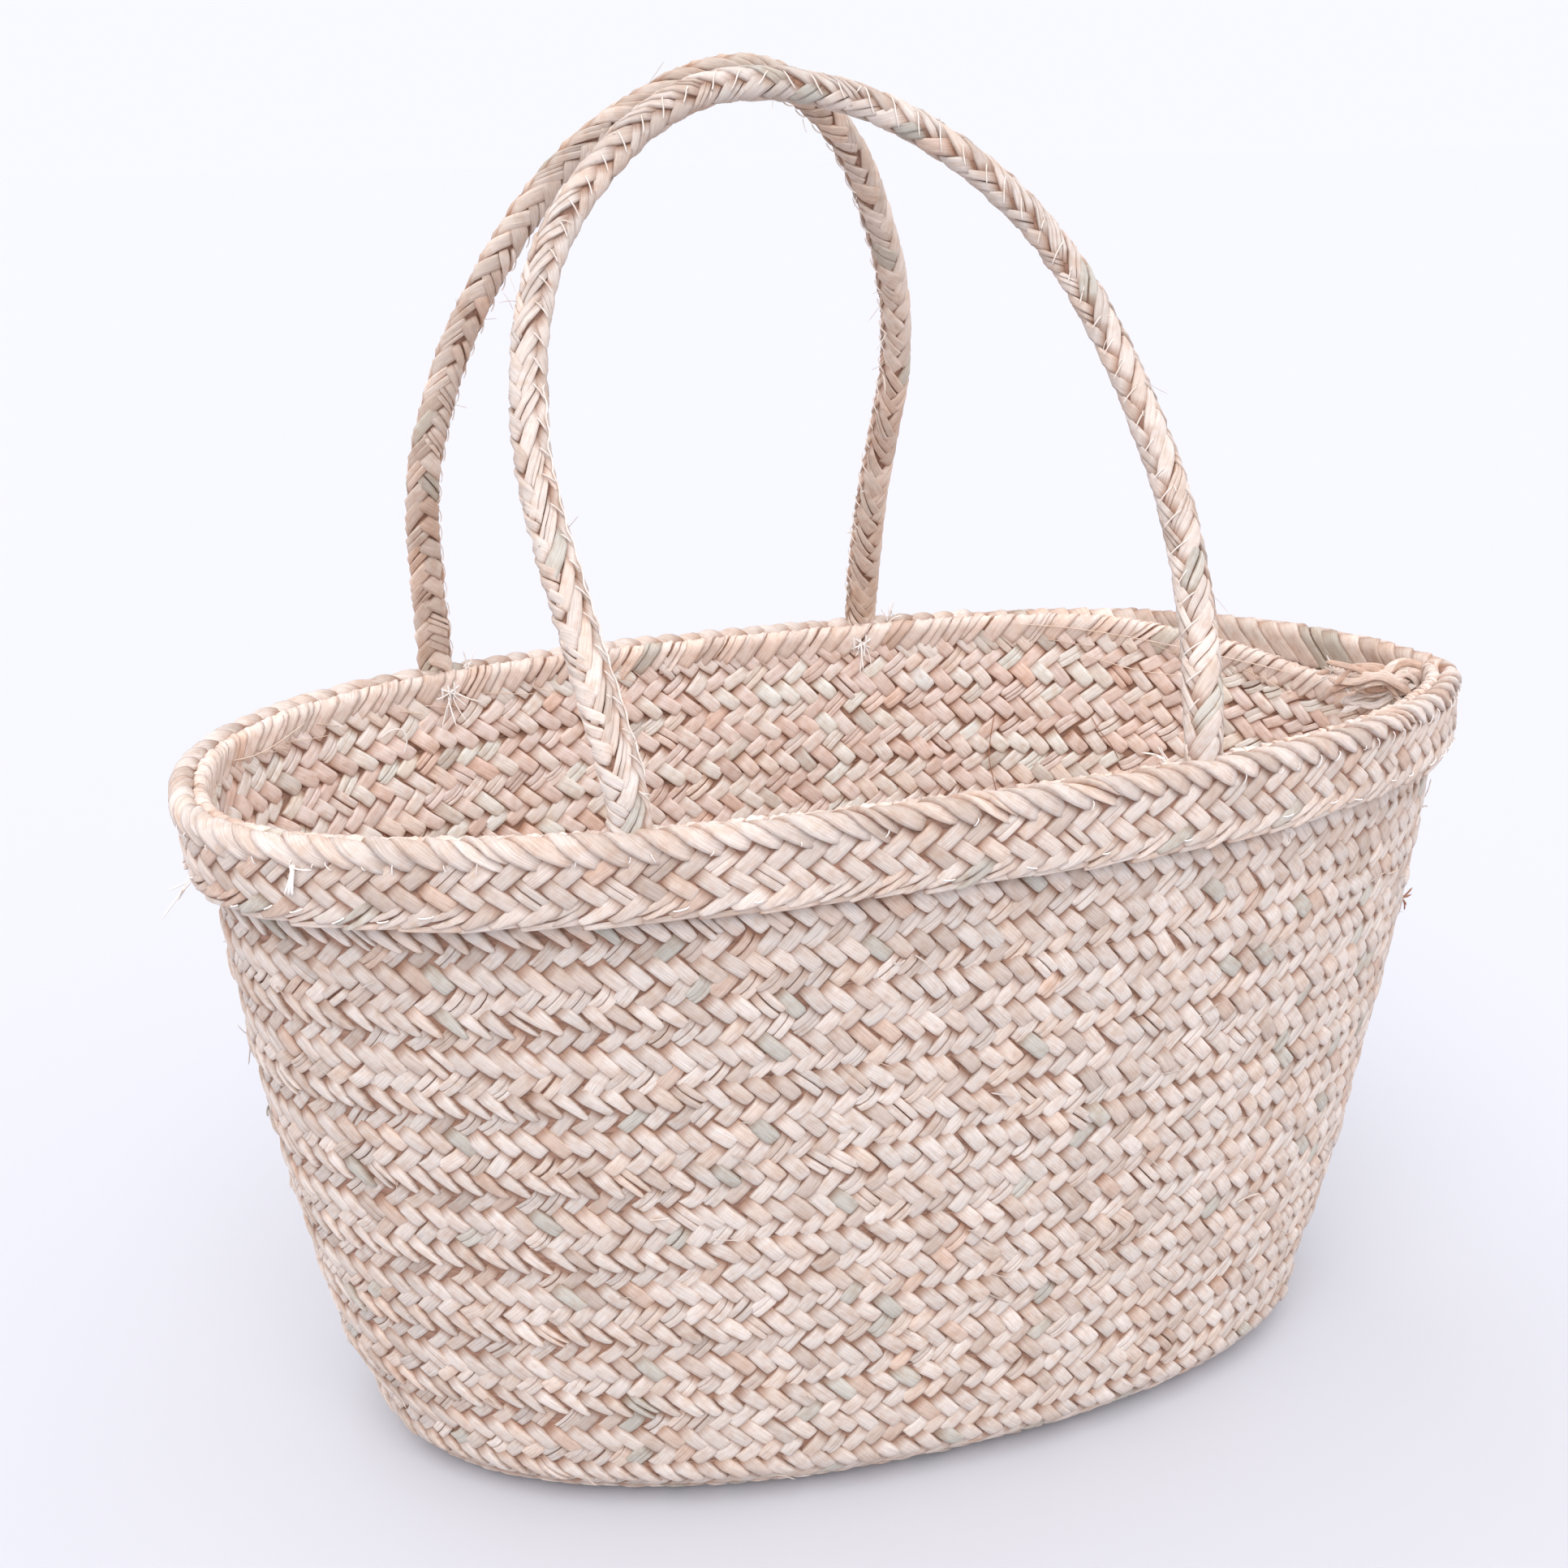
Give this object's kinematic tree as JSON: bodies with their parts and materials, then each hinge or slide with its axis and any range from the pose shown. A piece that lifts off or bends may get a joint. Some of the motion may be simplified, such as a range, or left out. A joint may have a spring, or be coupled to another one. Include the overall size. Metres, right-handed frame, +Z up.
{
  "type": "market basket",
  "caption": "Oval woven palm-leaf market basket with a sewn mouth band and a pair of long braided handles that lean together and swing outwards.",
  "frame": {"origin": "centre of the base on the floor", "axes": "+Z up; +X along the long side of the oval, towards the pointed tip of the mouth; -Y is the front"},
  "size_m": [0.4604, 0.2154, 0.4699],
  "materials": {
    "plait": "matte",
    "band": "matte",
    "handle": "matte",
    "core": "matte",
    "lacing": "matte",
    "thread": "matte"
  },
  "bodies": {
    "root": {"base_start": "plait", "base_turn_1": "plait", "base_turn_2": "plait", "corner_turn": "plait", "wall_turn_1": "plait", "wall_turn_2": "plait", "wall_turn_3": "plait", "wall_turn_4": "plait", "wall_turn_5": "plait", "wall_turn_6": "plait", "wall_turn_7": "plait", "wall_turn_8": "plait", "lacing_1": "lacing", "lacing_2": "lacing", "lacing_3": "lacing", "lacing_4": "lacing", "lacing_5": "lacing", "lacing_6": "lacing", "lacing_7": "lacing", "lacing_8": "lacing", "lacing_9": "lacing", "lacing_10": "lacing", "lacing_11": "lacing", "mouth_band": "band", "band_stitches_top": "thread", "band_stitches_bottom": "thread", "plait_end": "plait", "tail_front_left": "handle", "tail_front_right": "handle", "tail_back_left": "handle", "tail_back_right": "handle", "lashing_front_left": "thread", "lashing_front_right": "thread", "lashing_back_left": "thread", "lashing_back_right": "thread"},
    "handle_front": {"handle_front_cover": "handle", "handle_front_core": "core", "handle_front_thread": "thread"},
    "handle_back": {"handle_back_cover": "handle", "handle_back_core": "core", "handle_back_thread": "thread"}
  },
  "joints": [
    {"name": "handle_front_swing", "type": "hinge", "parent": "root", "child": "handle_front", "pos_m": [-0.00735, -0.09648, 0.2665], "axis": [1, -0.01, 0], "range_deg": [0, 110]},
    {"name": "handle_back_swing", "type": "hinge", "parent": "root", "child": "handle_back", "pos_m": [-0.04944, 0.09444, 0.2665], "axis": [-0.997, -0.0778, 0], "range_deg": [0, 110]}
  ]
}
